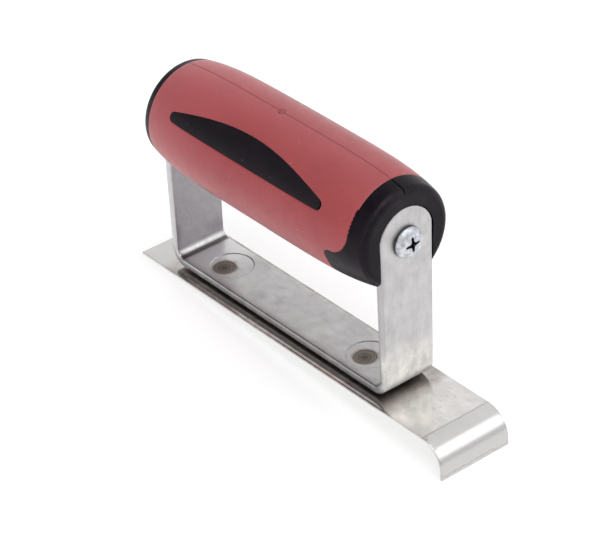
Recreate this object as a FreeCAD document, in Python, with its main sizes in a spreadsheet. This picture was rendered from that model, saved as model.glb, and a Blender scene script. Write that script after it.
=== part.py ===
"""Brick jointer: a bent-strip blade, a U bracket and a two-colour barrel handle.

Frame: +X runs along the blade towards the bent-down lip, +Y is to the left of a
person looking along +X, +Z is up. The origin is on the blade's sole, under the
middle of the handle. Millimetres.
"""
import FreeCAD, Part
import math
import os
import Sketcher
from FreeCAD import Placement, Rotation, Vector

doc = FreeCAD.newDocument("BrickJointer")
ORIGIN = Vector(0, 0, 0)
X_AXIS = Vector(1, 0, 0)

# ---------------------------------------------------------------- driving sizes
SIZES = {
    "blade_width": 31.0,
    "blade_thick": 1.0,
    "blade_rear": 75.0,          # origin to the square rear edge
    "blade_front": 84.6,         # origin to where the lip's bend begins
    "lip_radius": 10.0,          # outside of the bend
    "lip_drop": 13.0,            # top of the blade to the lip's lower edge
    "weld_gap": 1.0,             # daylight between blade and bracket
    "strip_width": 22.0,
    "strip_thick": 3.0,
    "strip_flare": 0.7,          # extra half width at the top of each leg
    "bracket_length": 122.0,
    "bend_inner": 3.5,
    "leg_top_radius": 12.0,
    "axis_height": 64.2,         # sole to the handle's axis
    "screw_height": 63.1,        # sole to the screws' axis
    "electrode_spacing": 78.4,
    "electrode_radius": 8.3,
    "weld_radius": 4.4,
    "front_weld": 39.2,          # origin to each weld, along the blade
    "rear_weld": 40.3,
    "front_weld_offset": 2.1,    # each weld sits a little off the centre line
    "rear_weld_offset": 2.9,
    "imprint_depth": 0.15,
    "screw_hole_radius": 3.3,
    "shank_radius": 2.9,
    "shank_length": 17.0,
    "head_radius": 5.9,
    "head_edge": 1.1,
    "head_height": 3.6,
    "dome_radius": 5.2,
    "point_chamfer": 1.0,
    "recess_span": 6.0,
    "recess_slot": 1.35,
    "recess_depth": 2.3,
    "insert_radius": 5.2,
    "insert_groove": 4.6,
    "insert_bore": 3.1,
    "insert_length": 12.0,
    "handle_length": 123.0,
    "handle_shift": -0.5,        # the barrel sits a touch towards the rear
    "barrel_radius": 22.1,
    "barrel_fall": 3.3,          # radius lost from the middle to the ends
    "end_round": 2.8,
    "grip_thick": 2.4,
    "near_collar": 53.8,         # origin to the red and black joint, lip end
    "far_collar": 57.8,          # the same at the rear end
    "seat_clearance": 0.3,       # handle slot beside each leg
    "joint_width": 0.5,          # groove where the core halves meet, on the near collar
    "joint_end": 60.8,
    "joint_floor": 16.6,         # above the handle's axis
    "cavity_radius": 13.0,
    "cavity_length": 86.0,
    "crescent_length": 83.6,
    "crescent_shift": -2.8,
    "crescent_low": 9.1,         # above the handle's axis
    "crescent_top": 17.5,
    "crescent_end_round": 1.65,
    "horn_reach": 42.8,          # origin to the horn's tip
    "horn_low": -3.0,
    "horn_tip_round": 2.6,
    "horn_sweep": 8.6,
    "scallop_radius": 17.6,
    "scallop_rear": -27.7,
    "scallop_front": 10.9,
    "scallop_last": 21.3,
}
BARREL_POWER = 5                 # how late the barrel's ends start to fall
QUARTER = math.pi / 2
BARREL_STATIONS = 16             # spline spans along the barrel


def make_sheet(sizes):
    """Writes each driving size into a cell of its own, under its own alias."""
    sheet = doc.addObject("Spreadsheet::Sheet", "Dims")
    for row, (alias, value) in enumerate(sizes.items(), start=1):
        sheet.set(f"A{row}", alias)
        sheet.set(f"B{row}", str(value))
        sheet.setAlias(f"B{row}", alias)
    doc.recompute()
    return sheet


dims = make_sheet(SIZES)


def size(alias):
    """A driving size as the sheet holds it."""
    return float(getattr(dims, alias))


def cell(expression):
    """Turns {alias} marks into references to the sheet's cells."""
    return expression.replace("{", "Dims.").replace("}", "")


def bind(thing, **expressions):
    """Binds properties to the sheet; a double underscore stands for a dot."""
    for name, expression in expressions.items():
        thing.setExpression(name.replace("__", "."), cell(expression))
    return thing


# ------------------------------------------------------------- sketching helpers
def new_body(label):
    body = doc.addObject("PartDesign::Body", label)
    body.Label = label
    return body


def new_sketch(body, name, role):
    """A sketch lying on one of its own body's origin planes."""
    sketch = body.newObject("Sketcher::SketchObject", name)
    plane = next(p for p in body.Origin.OriginFeatures if p.Role == role)
    sketch.AttachmentSupport = [(plane, "")]
    sketch.MapMode = "FlatFace"
    return sketch


def line(start, end):
    return Part.LineSegment(Vector(*start, 0), Vector(*end, 0))


def arc(centre, radius, start, end):
    """An arc drawn anticlockwise; angles in quarter turns."""
    circle = Part.Circle(Vector(*centre, 0), Vector(0, 0, 1), radius)
    return Part.ArcOfCircle(circle, start * QUARTER, end * QUARTER)


def join(sketch, kind, *ends):
    """Joins (curve, end) pairs; end 1 is a curve's start and 2 its finish."""
    for first, first_end, second, second_end in ends:
        sketch.addConstraint(
            Sketcher.Constraint(kind, first, first_end, second, second_end))


def level(sketch, curves):
    for curve in curves:
        sketch.addConstraint(Sketcher.Constraint("Horizontal", curve))


def upright(sketch, curves):
    for curve in curves:
        sketch.addConstraint(Sketcher.Constraint("Vertical", curve))


def measure(sketch, name, expression, kind, *where):
    """Adds a dimension, names it and binds it to the sheet."""
    index = sketch.addConstraint(Sketcher.Constraint(kind, *where))
    sketch.renameConstraint(index, name)
    sketch.setExpression(f"Constraints.{name}", cell(expression))


def pad(body, sketch, name, expression):
    """A pad that grows both ways from its sketch."""
    feature = body.newObject("PartDesign::Pad", name)
    feature.Profile = sketch
    feature.Midplane = True
    bind(feature, Length=expression)
    return feature


def pocket(body, sketch, name, expression, both_ways):
    feature = body.newObject("PartDesign::Pocket", name)
    feature.Profile = sketch
    feature.Midplane = both_ways
    bind(feature, Length=expression)
    return feature


# ------------------------------------------------------------------------- blade
def make_blade():
    """Flat strip whose front end bends down into a lip."""
    rear, front = size("blade_rear"), size("blade_front")
    thick, bend, drop = size("blade_thick"), size("lip_radius"), size("lip_drop")
    tip, inner = front + bend, front + bend - thick
    centre = (front, thick - bend)
    body = new_body("blade")
    sketch = new_sketch(body, "blade_side", "XZ_Plane")
    sketch.addGeometry([
        line((front, 0), (-rear, 0)),
        line((-rear, 0), (-rear, thick)),
        line((-rear, thick), (front, thick)),
        arc(centre, bend, 0, 1),
        line((tip, thick - bend), (tip, thick - drop)),
        line((tip, thick - drop), (inner, thick - drop)),
        line((inner, thick - drop), (inner, thick - bend)),
        arc(centre, bend - thick, 0, 1),
    ], False)
    join(sketch, "Coincident", (0, 2, 1, 1), (1, 2, 2, 1), (4, 2, 5, 1), (5, 2, 6, 1),
         (3, 3, 7, 3))
    join(sketch, "Tangent", (2, 2, 3, 2), (3, 1, 4, 1), (6, 2, 7, 1), (7, 2, 0, 1))
    level(sketch, (0, 2, 5))
    upright(sketch, (1, 4, 6))
    sketch.addConstraint(Sketcher.Constraint("PointOnObject", 0, 2, -1))
    measure(sketch, "rear", "{blade_rear}", "DistanceX", 0, 2, -1, 1, rear)
    measure(sketch, "front", "{blade_front}", "DistanceX", -1, 1, 2, 2, front)
    measure(sketch, "thick", "{blade_thick}", "DistanceY", 1, 1, 1, 2, thick)
    measure(sketch, "bend", "{lip_radius}", "Radius", 3, bend)
    measure(sketch, "drop", "{lip_drop}", "DistanceY", 4, 2, 2, 2, drop)
    pad(body, sketch, "blade_strip", "{blade_width}")
    return body


# ----------------------------------------------------------------------- bracket
def bracket_side(body):
    """Side view of the U strip, its legs left long for trimming."""
    half = size("bracket_length") / 2
    base = size("blade_thick") + size("weld_gap")
    thick, inner = size("strip_thick"), size("bend_inner")
    outer = inner + thick
    high = size("axis_height") + 2 * size("leg_top_radius")
    low, turn = base + thick, base + outer
    sketch = new_sketch(body, "bracket_side", "XZ_Plane")
    sketch.addGeometry([
        line((-half, high), (-half, turn)),
        arc((outer - half, turn), outer, 2, 3),
        line((outer - half, base), (half - outer, base)),
        arc((half - outer, turn), outer, 3, 4),
        line((half, turn), (half, high)),
        line((half, high), (half - thick, high)),
        line((half - thick, high), (half - thick, turn)),
        arc((half - outer, turn), inner, 3, 4),
        line((half - outer, low), (outer - half, low)),
        arc((outer - half, turn), inner, 2, 3),
        line((thick - half, turn), (thick - half, high)),
        line((thick - half, high), (-half, high)),
    ], False)
    join(sketch, "Tangent", (0, 2, 1, 1), (1, 2, 2, 1), (2, 2, 3, 1), (3, 2, 4, 1),
         (6, 2, 7, 2), (7, 1, 8, 1), (8, 2, 9, 2), (9, 1, 10, 1))
    join(sketch, "Coincident", (4, 2, 5, 1), (5, 2, 6, 1), (10, 2, 11, 1), (11, 2, 0, 1),
         (1, 3, 9, 3), (3, 3, 7, 3))
    level(sketch, (2, 5, 8, 11))
    upright(sketch, (0, 4, 6, 10))
    sketch.addConstraint(Sketcher.Constraint("Symmetric", 0, 1, 4, 2, -2))
    sketch.addConstraint(Sketcher.Constraint("Equal", 7, 9))
    measure(sketch, "base", "{blade_thick} + {weld_gap}", "DistanceY", -1, 1, 2, 1, base)
    measure(sketch, "length", "{bracket_length}", "DistanceX", 0, 1, 4, 2, 2 * half)
    measure(sketch, "thick", "{strip_thick}", "DistanceX", 11, 2, 11, 1, thick)
    measure(sketch, "bend", "{bend_inner}", "Radius", 7, inner)
    measure(sketch, "high", "{axis_height} + 2 * {leg_top_radius}", "DistanceY",
            -1, 1, 0, 1, high)
    return sketch


def leg_front(body):
    """Everything outside the strip's front outline, to be cut away."""
    axis, top = size("axis_height"), size("leg_top_radius")
    foot, flare = size("strip_width") / 2, size("strip_flare")
    head = foot + flare
    shoulder = axis + (top ** 2 - head ** 2) ** 0.5
    side, high = 2 * top, axis + 3 * top
    sketch = new_sketch(body, "leg_front", "YZ_Plane")
    right = Part.Arc(Vector(head, shoulder, 0), Vector(0, axis + top, 0),
                     Vector(-head, shoulder, 0))
    sketch.addGeometry([
        line((-foot, 0), (foot, 0)),
        line((foot, 0), (head, shoulder)),
        right,
        line((-head, shoulder), (-foot, 0)),
        line((-side, -top), (side, -top)),
        line((side, -top), (side, high)),
        line((side, high), (-side, high)),
        line((-side, high), (-side, -top)),
    ], False)
    join(sketch, "Coincident", (0, 2, 1, 1), (1, 2, 2, 1), (2, 2, 3, 1), (3, 2, 0, 1),
         (4, 2, 5, 1), (5, 2, 6, 1), (6, 2, 7, 1), (7, 2, 4, 1))
    level(sketch, (0, 6))
    upright(sketch, (5, 7))
    sketch.addConstraint(Sketcher.Constraint("Symmetric", 0, 1, 0, 2, -1, 1))
    sketch.addConstraint(Sketcher.Constraint("PointOnObject", 2, 3, -2))
    sketch.addConstraint(Sketcher.Constraint("Horizontal", 2, 1, 2, 2))
    sketch.addConstraint(Sketcher.Constraint("Symmetric", 4, 1, 4, 2, -2))
    measure(sketch, "foot", "{strip_width}", "DistanceX", 0, 1, 0, 2, 2 * foot)
    measure(sketch, "head", "{strip_width} + 2 * {strip_flare}", "DistanceX",
            2, 2, 2, 1, 2 * head)
    measure(sketch, "top", "{leg_top_radius}", "Radius", 2, top)
    measure(sketch, "axis", "{axis_height}", "DistanceY", -1, 1, 2, 3, axis)
    measure(sketch, "side", "4 * {leg_top_radius}", "DistanceX", 4, 1, 4, 2, 2 * side)
    measure(sketch, "under", "{leg_top_radius}", "DistanceY", 4, 2, -1, 1, top)
    measure(sketch, "over", "{axis_height} + 3 * {leg_top_radius}", "DistanceY",
            -1, 1, 5, 2, high)
    return sketch


def screw_holes(body):
    axis, radius = size("screw_height"), size("screw_hole_radius")
    sketch = new_sketch(body, "screw_holes", "YZ_Plane")
    sketch.addGeometry(Part.Circle(Vector(0, axis, 0), Vector(0, 0, 1), radius), False)
    sketch.addConstraint(Sketcher.Constraint("PointOnObject", 0, 3, -2))
    measure(sketch, "axis", "{screw_height}", "DistanceY", -1, 1, 0, 3, axis)
    measure(sketch, "hole", "{screw_hole_radius}", "Radius", 0, radius)
    return sketch


def weld_imprints(body, name, radius_alias, places, depth):
    """Round marks left in the base's top over the welds, rear one first.

    places gives each mark's distance along the blade and its offset, as cells.
    """
    sketch = new_sketch(body, name, "XY_Plane")
    top = "{blade_thick} + {weld_gap} + {strip_thick}"
    sketch.setExpression("AttachmentOffset.Base.z", cell(f"{top} - {depth}"))
    radius = size(radius_alias)
    for index, (side, (along, far), (across, off)) in enumerate(zip((-1, 1), *places)):
        place = Vector(side * far, -off, 0)
        sketch.addGeometry(Part.Circle(place, Vector(0, 0, 1), radius), False)
        ends = (index, 3, -1, 1) if side < 0 else (-1, 1, index, 3)
        measure(sketch, f"along_{index}", along, "DistanceX", *ends, far)
        measure(sketch, f"round_{index}", "{" + radius_alias + "}", "Radius", index, radius)
        if off:
            measure(sketch, f"across_{index}", across, "DistanceY", index, 3, -1, 1, off)
        else:
            sketch.addConstraint(Sketcher.Constraint("PointOnObject", index, 3, -1))
    return sketch


def make_bracket():
    """U bracket: one bent strip with rounded leg tops."""
    body = new_body("bracket")
    pad(body, bracket_side(body), "bent_strip", "3 * {leg_top_radius}")
    pocket(body, leg_front(body), "trim_outline", "2 * {bracket_length}", True)
    pocket(body, screw_holes(body), "drill_legs", "2 * {bracket_length}", True)
    centred = [("{electrode_spacing} / 2", size("electrode_spacing") / 2)] * 2
    marks = weld_imprints(body, "electrode_marks", "electrode_radius",
                          (centred, [("", 0)] * 2), "0")
    pocket(body, marks, "press_marks", "{imprint_depth}", False)
    along = [("{rear_weld}", size("rear_weld")), ("{front_weld}", size("front_weld"))]
    across = [(f"{{{end}_weld_offset}}", size(f"{end}_weld_offset")) for end in ("rear", "front")]
    discs = weld_imprints(body, "weld_discs", "weld_radius", (along, across), "{imprint_depth}")
    pocket(body, discs, "press_discs", "{imprint_depth}", False)
    return body


def make_spot_weld(end, side):
    """Weld metal that bridges the gap between blade and bracket."""
    nugget = doc.addObject("Part::Cylinder", f"spot_weld_{end}")
    nugget.Label = f"spot_weld_{end}"
    bind(nugget, Radius="{weld_radius}", Height="{weld_gap}",
         Placement__Base__x=f"{side} * {{{end}_weld}}",
         Placement__Base__y=f"-{{{end}_weld_offset}}",
         Placement__Base__z="{blade_thick}")
    return nugget


# ---------------------------------------------------------------- handle shapes
def barrel_radius(station):
    """Radius of the handle's barrel at a distance along its axis."""
    reach = size("handle_length") / 2
    return size("barrel_radius") - size("barrel_fall") * abs(station / reach) ** BARREL_POWER


def barrel_solid(length, inset):
    """The barrel turned about the handle's axis, inset from its outer surface."""
    half = length / 2
    stations = [half * (2 * i / BARREL_STATIONS - 1) for i in range(BARREL_STATIONS + 1)]
    skin = Part.BSplineCurve()
    skin.interpolate([Vector(x, barrel_radius(x) - inset, 0) for x in stations])
    first, last = skin.StartPoint, skin.EndPoint
    outline = Part.Wire([
        Part.makeLine(Vector(-half, 0, 0), first),
        skin.toShape(),
        Part.makeLine(last, Vector(half, 0, 0)),
        Part.makeLine(Vector(half, 0, 0), Vector(-half, 0, 0)),
    ])
    return Part.Face(outline).revolve(ORIGIN, X_AXIS, 360)


def on_handle_axis(thing):
    """Moves a shape modelled about the origin to the handle's place."""
    bind(thing, Placement__Base__x="{handle_shift}", Placement__Base__z="{axis_height}")
    return thing


def make_outer_barrel():
    """The handle's whole outside, with rounded ends."""
    solid = barrel_solid(size("handle_length"), 0)
    ends = [e for e in solid.Edges
            if e.Closed and abs(abs(e.CenterOfMass.x) - size("handle_length") / 2) < 0.01]
    feature = doc.addObject("Part::Feature", "outer_barrel")
    feature.Shape = solid.makeFillet(size("end_round"), ends)
    return on_handle_axis(feature)


def make_inner_barrel():
    """The surface the soft grip is moulded on."""
    length = size("handle_length") - 2 * size("grip_thick")
    feature = doc.addObject("Part::Feature", "inner_barrel")
    feature.Shape = barrel_solid(length, size("grip_thick"))
    return on_handle_axis(feature)


def make_box(name, **expressions):
    return bind(doc.addObject("Part::Box", name), **expressions)


def make_rod(name, **expressions):
    """A cylinder lying along X."""
    rod = doc.addObject("Part::Cylinder", name)
    rod.Placement = Placement(ORIGIN, Rotation(Vector(0, 1, 0), 90))
    return bind(rod, **expressions)


def fuse(name, shapes):
    fused = doc.addObject("Part::MultiFuse", name)
    fused.Shapes = shapes
    return fused


def cut(name, base, tool):
    result = doc.addObject("Part::Cut", name)
    result.Base = base
    result.Tool = tool
    return result


def common(name, first, second):
    result = doc.addObject("Part::Common", name)
    result.Base = first
    result.Tool = second
    return result


def side_prism(name, sketch, width):
    """A side-view outline pushed through the handle from side to side."""
    prism = doc.addObject("Part::Extrusion", name)
    prism.Base = sketch
    prism.DirMode = "Custom"
    prism.Dir = Vector(0, 1, 0)
    prism.Solid = True
    prism.Symmetric = True
    return bind(prism, LengthFwd=width)


def side_sketch(name):
    """A free sketch in the XZ plane through the handle's axis."""
    sketch = doc.addObject("Sketcher::SketchObject", name)
    sketch.Placement = Placement(ORIGIN, Rotation(X_AXIS, 90))
    return on_handle_axis(sketch)


def make_crescents():
    """Flat below, arched above, with rounded ends: shows on both sides."""
    half, shift = size("crescent_length") / 2, size("crescent_shift")
    low, top, end = size("crescent_low"), size("crescent_top"), size("crescent_end_round")
    reach, rise = half - end, top - low - end
    sweep = (reach ** 2 + rise ** 2 - end ** 2) / (2 * (rise - end))
    lean = math.atan2(sweep - rise, reach) / QUARTER
    sketch = side_sketch("crescent_side")
    sketch.addGeometry([
        line((shift - reach, low), (shift + reach, low)),
        arc((shift + reach, low + end), end, -1, lean),
        arc((shift, top - sweep), sweep, lean, 2 - lean),
        arc((shift - reach, low + end), end, 2 - lean, 3),
    ], False)
    join(sketch, "Tangent", (0, 2, 1, 1), (1, 2, 2, 1), (2, 2, 3, 1), (3, 2, 0, 1))
    level(sketch, (0,))
    sketch.addConstraint(Sketcher.Constraint("Equal", 1, 3))
    reach_cells = "({crescent_length} / 2 - {crescent_end_round})"
    rise_cells = "({crescent_top} - {crescent_low} - {crescent_end_round})"
    measure(sketch, "end", "{crescent_end_round}", "Radius", 1, end)
    measure(sketch, "low", "{crescent_low}", "DistanceY", -1, 1, 0, 1, low)
    measure(sketch, "length", f"2 * {reach_cells}", "DistanceX", 0, 1, 0, 2, 2 * reach)
    measure(sketch, "shift", f"{reach_cells} - {{crescent_shift}}", "DistanceX",
            0, 1, -1, 1, reach - shift)
    measure(sketch, "arch", f"({reach_cells} ^ 2 + {rise_cells} ^ 2"
            f" - {{crescent_end_round}} ^ 2) / (2 * ({rise_cells} - {{crescent_end_round}}))",
            "Radius", 2, sweep)
    return side_prism("crescent_prism", sketch, "4 * {barrel_radius}")


def make_horns():
    """Black beside the lip-end collar: swept corner above, blunt tip below."""
    collar, reach = size("near_collar"), size("horn_reach")
    sweep, tip, low = size("horn_sweep"), size("horn_tip_round"), size("horn_low")
    end, deep = size("handle_length") / 2 + 5, -2 * size("barrel_radius")
    sketch = side_sketch("horn_side")
    sketch.addGeometry([
        line((collar, low + 2 * sweep), (collar, low + sweep)),
        arc((collar - sweep, low + sweep), sweep, 3, 4),
        line((collar - sweep, low), (reach + tip, low)),
        arc((reach + tip, low - tip), tip, 1, 2),
        line((reach, low - tip), (reach, deep)),
        line((reach, deep), (end, deep)),
        line((end, deep), (end, low + 2 * sweep)),
        line((end, low + 2 * sweep), (collar, low + 2 * sweep)),
    ], False)
    join(sketch, "Tangent", (0, 2, 1, 2), (1, 1, 2, 1), (2, 2, 3, 1), (3, 2, 4, 1))
    join(sketch, "Coincident", (4, 2, 5, 1), (5, 2, 6, 1), (6, 2, 7, 1), (7, 2, 0, 1))
    level(sketch, (2, 5, 7))
    upright(sketch, (0, 4, 6))
    measure(sketch, "collar", "{near_collar}", "DistanceX", -1, 1, 0, 1, collar)
    measure(sketch, "reach", "{horn_reach}", "DistanceX", -1, 1, 4, 2, reach)
    measure(sketch, "low", "-1 * {horn_low}", "DistanceY", 2, 2, -1, 1, -low)
    measure(sketch, "sweep", "{horn_sweep}", "Radius", 1, sweep)
    measure(sketch, "tip", "{horn_tip_round}", "Radius", 3, tip)
    measure(sketch, "end", "{handle_length} / 2 + 5", "DistanceX", -1, 1, 6, 1, end)
    measure(sketch, "deep", "2 * {barrel_radius}", "DistanceY", 4, 2, -1, 1, -deep)
    measure(sketch, "high", "{horn_low} + 2 * {horn_sweep}", "DistanceY",
            -1, 1, 0, 1, low + 2 * sweep)
    return side_prism("horn_prism", sketch, "4 * {barrel_radius}")


def make_scallops():
    """Rounded black finger pads along the underside."""
    pads = []
    for name in ("scallop_rear", "scallop_front", "scallop_last"):
        pillar = doc.addObject("Part::Cylinder", name + "_pad")
        bind(pillar, Radius="{scallop_radius}", Height="2 * {barrel_radius}",
             Placement__Base__x="{" + name + "}",
             Placement__Base__z="{axis_height} - 2.2 * {barrel_radius}")
        pads.append(pillar)
    bridge = make_box(
        "scallop_bridge", Length="{scallop_last} - {scallop_front}",
        Width="2 * {scallop_radius}", Height="2 * {barrel_radius}",
        Placement__Base__x="{scallop_front}", Placement__Base__y="-{scallop_radius}",
        Placement__Base__z="{axis_height} - 2.2 * {barrel_radius}")
    return fuse("scallop_prism", pads + [bridge])


def make_collar(name, start, length):
    """A block that holds everything of the handle past a given station."""
    return make_box(name, Length=length, Width="4 * {barrel_radius}",
                    Height="4 * {barrel_radius}", Placement__Base__x=start,
                    Placement__Base__y="-2 * {barrel_radius}",
                    Placement__Base__z="{axis_height} - 2 * {barrel_radius}")


def make_windows():
    """Every place where the black core comes up to the handle's surface."""
    near = make_collar("near_collar_block", "{near_collar}", "{handle_length}")
    far = make_collar("far_collar_block", "-{far_collar} - {handle_length}",
                      "{handle_length}")
    return fuse("windows", [near, far, make_crescents(), make_horns(), make_scallops()])


def make_leg_seats():
    """Slots in the handle's ends that the leg tops sit in."""
    inner = "({bracket_length} / 2 - {strip_thick})"
    wide = "({strip_width} / 2 + {strip_flare} + {seat_clearance})"
    seats = []
    for name, start in (("near", inner), ("far", f"-{inner} - {{leg_top_radius}}")):
        slot = make_box(name + "_seat_slot", Length="{leg_top_radius}",
                        Width=f"2 * {wide}", Height="2 * {barrel_radius}",
                        Placement__Base__x=start, Placement__Base__y=f"-{wide}",
                        Placement__Base__z="{axis_height} - 2 * {barrel_radius}")
        crown = make_rod(name + "_seat_crown", Height="{leg_top_radius}",
                         Radius="{leg_top_radius} + {seat_clearance}",
                         Placement__Base__x=start, Placement__Base__z="{axis_height}")
        seats += [slot, crown]
    return fuse("leg_seats", seats)


# -------------------------------------------------------------- screws and inserts
def insert_blank(name, side):
    """Outside of a threaded insert: two bands with a groove that locks it in."""
    start = "({bracket_length} / 2 - {strip_thick} - {insert_length})"
    if side < 0:
        start = "-({bracket_length} / 2 - {strip_thick})"
    parts = [make_rod(f"{name}_neck", Radius="{insert_groove}", Height="{insert_length}",
                      Placement__Base__x=start, Placement__Base__z="{screw_height}")]
    for index in (0, 2):
        parts.append(make_rod(
            f"{name}_band_{index}", Radius="{insert_radius}", Height="{insert_length} / 3",
            Placement__Base__x=f"{start} + {index} * {{insert_length}} / 3",
            Placement__Base__z="{screw_height}"))
    return fuse(f"{name}_blank", parts)


def make_insert(label, blank):
    bore = make_rod(f"{label}_bore", Radius="{insert_bore}", Height="2 * {bracket_length}",
                    Placement__Base__x="-{bracket_length}",
                    Placement__Base__z="{screw_height}")
    insert = cut(label, blank, bore)
    insert.Label = label
    return insert


def screw_profile(body):
    """Half section of the screw: seat at the origin, head towards +X."""
    shank, length = size("shank_radius"), size("shank_length")
    head, edge, high = size("head_radius"), size("head_edge"), size("head_height")
    point, dome, crown = size("point_chamfer"), size("dome_radius"), head / 3
    top, rim = Vector(high, crown, 0), Vector(edge, head, 0)
    outward = Vector(head - crown, high - edge, 0).normalize()
    hollow = dome - (dome ** 2 - (top - rim).Length ** 2 / 4) ** 0.5
    bulge = (top + rim) / 2 + outward * hollow
    sketch = new_sketch(body, body.Name + "_section", "XZ_Plane")
    sketch.addGeometry([
        line((-length, 0), (high, 0)),
        line((high, 0), (high, crown)),
        Part.Arc(top, bulge, rim),
        line((edge, head), (0, head)),
        line((0, head), (0, shank)),
        line((0, shank), (point - length, shank)),
        line((point - length, shank), (-length, shank - point)),
        line((-length, shank - point), (-length, 0)),
    ], False)
    join(sketch, "Coincident", (0, 2, 1, 1), (1, 2, 2, 1), (2, 2, 3, 1),
         (3, 2, 4, 1), (4, 2, 5, 1), (5, 2, 6, 1), (6, 2, 7, 1), (7, 2, 0, 1))
    level(sketch, (0, 3, 5))
    upright(sketch, (1, 4, 7))
    sketch.addConstraint(Sketcher.Constraint("PointOnObject", 0, 1, -1))
    sketch.addConstraint(Sketcher.Constraint("PointOnObject", 4, 1, -2))
    measure(sketch, "head", "{head_radius}", "DistanceY", -1, 1, 3, 2, head)
    measure(sketch, "edge", "{head_edge}", "DistanceX", 3, 2, 3, 1, edge)
    measure(sketch, "high", "{head_height}", "DistanceX", -1, 1, 0, 2, high)
    measure(sketch, "crown", "{head_radius} / 3", "DistanceY", 1, 1, 1, 2, crown)
    measure(sketch, "dome", "{dome_radius}", "Radius", 2, dome)
    measure(sketch, "shank", "{shank_radius}", "DistanceY", -1, 1, 5, 1, shank)
    measure(sketch, "length", "{shank_length}", "DistanceX", 0, 1, -1, 1, length)
    measure(sketch, "point_back", "{point_chamfer}", "DistanceX", 6, 2, 6, 1, point)
    measure(sketch, "point_in", "{point_chamfer}", "DistanceY", 6, 2, 6, 1, point)
    return sketch


def cross_recess(body):
    """Four-winged driver recess, drawn as one cross."""
    arm, wing = size("recess_span") / 2, size("recess_slot") / 2
    corners = [(arm, wing), (wing, wing), (wing, arm), (-wing, arm), (-wing, wing),
               (-arm, wing), (-arm, -wing), (-wing, -wing), (-wing, -arm), (wing, -arm),
               (wing, -wing), (arm, -wing)]
    sketch = new_sketch(body, body.Name + "_recess", "YZ_Plane")
    sketch.setExpression("AttachmentOffset.Base.z", cell("{head_height}"))
    count = len(corners)
    for index, corner in enumerate(corners):
        sketch.addGeometry(line(corner, corners[(index + 1) % count]), False)
    for index in range(count):
        join(sketch, "Coincident", (index, 2, (index + 1) % count, 1))
    level(sketch, range(0, count, 2))
    upright(sketch, range(1, count, 2))
    for corner in (0, 2, 4):
        sketch.addConstraint(
            Sketcher.Constraint("Symmetric", corner, 1, corner + 6, 1, -1, 1))
    sketch.addConstraint(Sketcher.Constraint("Horizontal", 0, 1, 4, 1))
    sketch.addConstraint(Sketcher.Constraint("Vertical", 1, 1, 9, 1))
    measure(sketch, "span_across", "{recess_span}", "DistanceX", 6, 1, 0, 1, 2 * arm)
    measure(sketch, "span_up", "{recess_span}", "DistanceY", 8, 1, 2, 1, 2 * arm)
    measure(sketch, "slot_across", "{recess_slot}", "DistanceX", 3, 1, 2, 1, 2 * wing)
    measure(sketch, "slot_up", "{recess_slot}", "DistanceY", 11, 1, 0, 1, 2 * wing)
    return sketch


def make_screw(label, side):
    """Pan-head screw, turned so that its head faces away from the handle."""
    body = new_body(label)
    turn = body.newObject("PartDesign::Revolution", label + "_turned")
    turn.Profile = screw_profile(body)
    axis = next(a for a in body.Origin.OriginFeatures if a.Role == "X_Axis")
    turn.ReferenceAxis = (axis, [""])
    turn.Angle = 360
    pocket(body, cross_recess(body), label + "_cross", "{recess_depth}", False)
    if side < 0:
        body.Placement = Placement(ORIGIN, Rotation(Vector(0, 0, 1), 180))
    bind(body, Placement__Base__x=f"{side} * {{bracket_length}} / 2",
         Placement__Base__z="{screw_height}")
    return body


# --------------------------------------------------------------- core and sleeve
def make_core_halves(outer, inner, windows, seats, blanks):
    """Hollow black core, split along the handle's upright middle plane."""
    shown = common("shown_core", outer, windows)
    cavity = make_rod("core_cavity", Radius="{cavity_radius}", Height="{cavity_length}",
                      Placement__Base__x="-{cavity_length} / 2",
                      Placement__Base__z="{axis_height}")
    tip_room = make_rod("screw_tip_room", Radius="{insert_bore}",
                        Height="2 * {shank_length} + {cavity_length}",
                        Placement__Base__x="-{shank_length} - {cavity_length} / 2",
                        Placement__Base__z="{screw_height}")
    groove = make_box("joint_groove", Length="{joint_end} - {near_collar}",
                      Width="{joint_width}", Height="{barrel_radius}",
                      Placement__Base__x="{near_collar}",
                      Placement__Base__y="-{joint_width} / 2",
                      Placement__Base__z="{axis_height} + {joint_floor}")
    hollow = fuse("core_hollow", [cavity, tip_room, seats, groove] + blanks)
    core = cut("core_whole", fuse("core_blank", [inner, shown]), hollow)
    halves = []
    for label, start in (("core_half_right", "-2 * {barrel_radius}"),
                         ("core_half_left", "0")):
        room = make_box(label + "_room", Length="2 * {handle_length}",
                        Width="2 * {barrel_radius}", Height="4 * {barrel_radius}",
                        Placement__Base__x="-{handle_length}", Placement__Base__y=start,
                        Placement__Base__z="{axis_height} - 2 * {barrel_radius}")
        half = common(label, core, room)
        half.Label = label
        halves.append(half)
    return halves


def make_grip(outer, inner, windows, seats):
    """Soft red sleeve: the barrel's skin, less the windows and leg seats."""
    skin = cut("barrel_skin", outer, inner)
    grip = cut("grip_sleeve", skin, fuse("grip_openings", [windows, seats]))
    grip.Label = "grip_sleeve"
    return grip


def make_handle():
    outer, inner = make_outer_barrel(), make_inner_barrel()
    windows, seats = make_windows(), make_leg_seats()
    blanks = [insert_blank("insert_front_outside", 1),
              insert_blank("insert_rear_outside", -1)]
    halves = make_core_halves(outer, inner, windows, seats, blanks)
    inserts = [make_insert("insert_front", blanks[0]), make_insert("insert_rear", blanks[1])]
    return halves + [make_grip(outer, inner, windows, seats)] + inserts


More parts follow.
